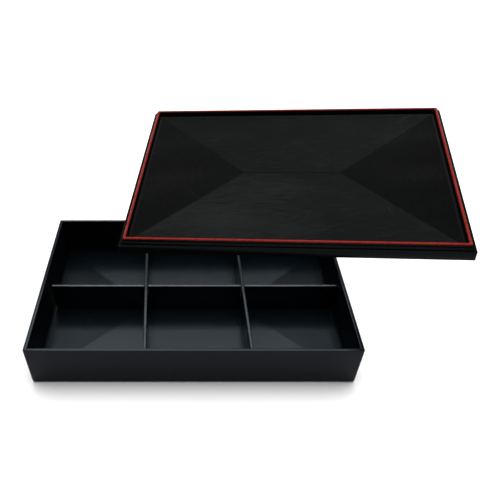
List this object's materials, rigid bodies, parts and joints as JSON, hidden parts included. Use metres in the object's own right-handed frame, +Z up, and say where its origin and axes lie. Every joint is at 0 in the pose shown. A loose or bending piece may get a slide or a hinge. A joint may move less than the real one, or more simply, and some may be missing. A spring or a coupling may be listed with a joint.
{
  "type": "bento box",
  "caption": "Rectangular lacquered lunch box with a lift-out partition that makes compartments, and a stepped lid with a red line round its raised rim, taken off.",
  "frame": {"origin": "centre of the flat foot of the box, on the plane that it stands on", "axes": "+X to the right along the long side, +Y to the rear, +Z up out of the open box"},
  "size_m": [0.4137, 0.2849, 0.1647],
  "materials": {
    "box_black": "satin black lacquer with fine mitred ribs on the floor",
    "partition_black": "satin black lacquer, softly rounded edges",
    "lid_black": "satin black lacquer with fine mitred ribs on the panel",
    "line_red": "satin vermilion lacquer line"
  },
  "bodies": {
    "box": {"box": "box_black"},
    "partition": {"long_divider": "partition_black"},
    "left_board": {"short_divider_left": "partition_black"},
    "right_board": {"short_divider_right": "partition_black"},
    "lid": {"lid": "lid_black", "lid_red_line": "line_red"}
  },
  "joints": [
    {"name": "partition_lift", "type": "slide", "parent": "box", "child": "partition", "axis": [0, 0, 1], "range_m": [0, 0.044]},
    {"name": "left_board_lift", "type": "slide", "parent": "partition", "child": "left_board", "axis": [0, 0, 1], "range_m": [0, 0.018]},
    {"name": "right_board_lift", "type": "slide", "parent": "partition", "child": "right_board", "axis": [0, 0, 1], "range_m": [0, 0.018]},
    {"name": "lid_lift", "type": "slide", "parent": "box", "child": "lid", "axis": [0, 0, 1], "range_m": [0, 0.08]}
  ]
}
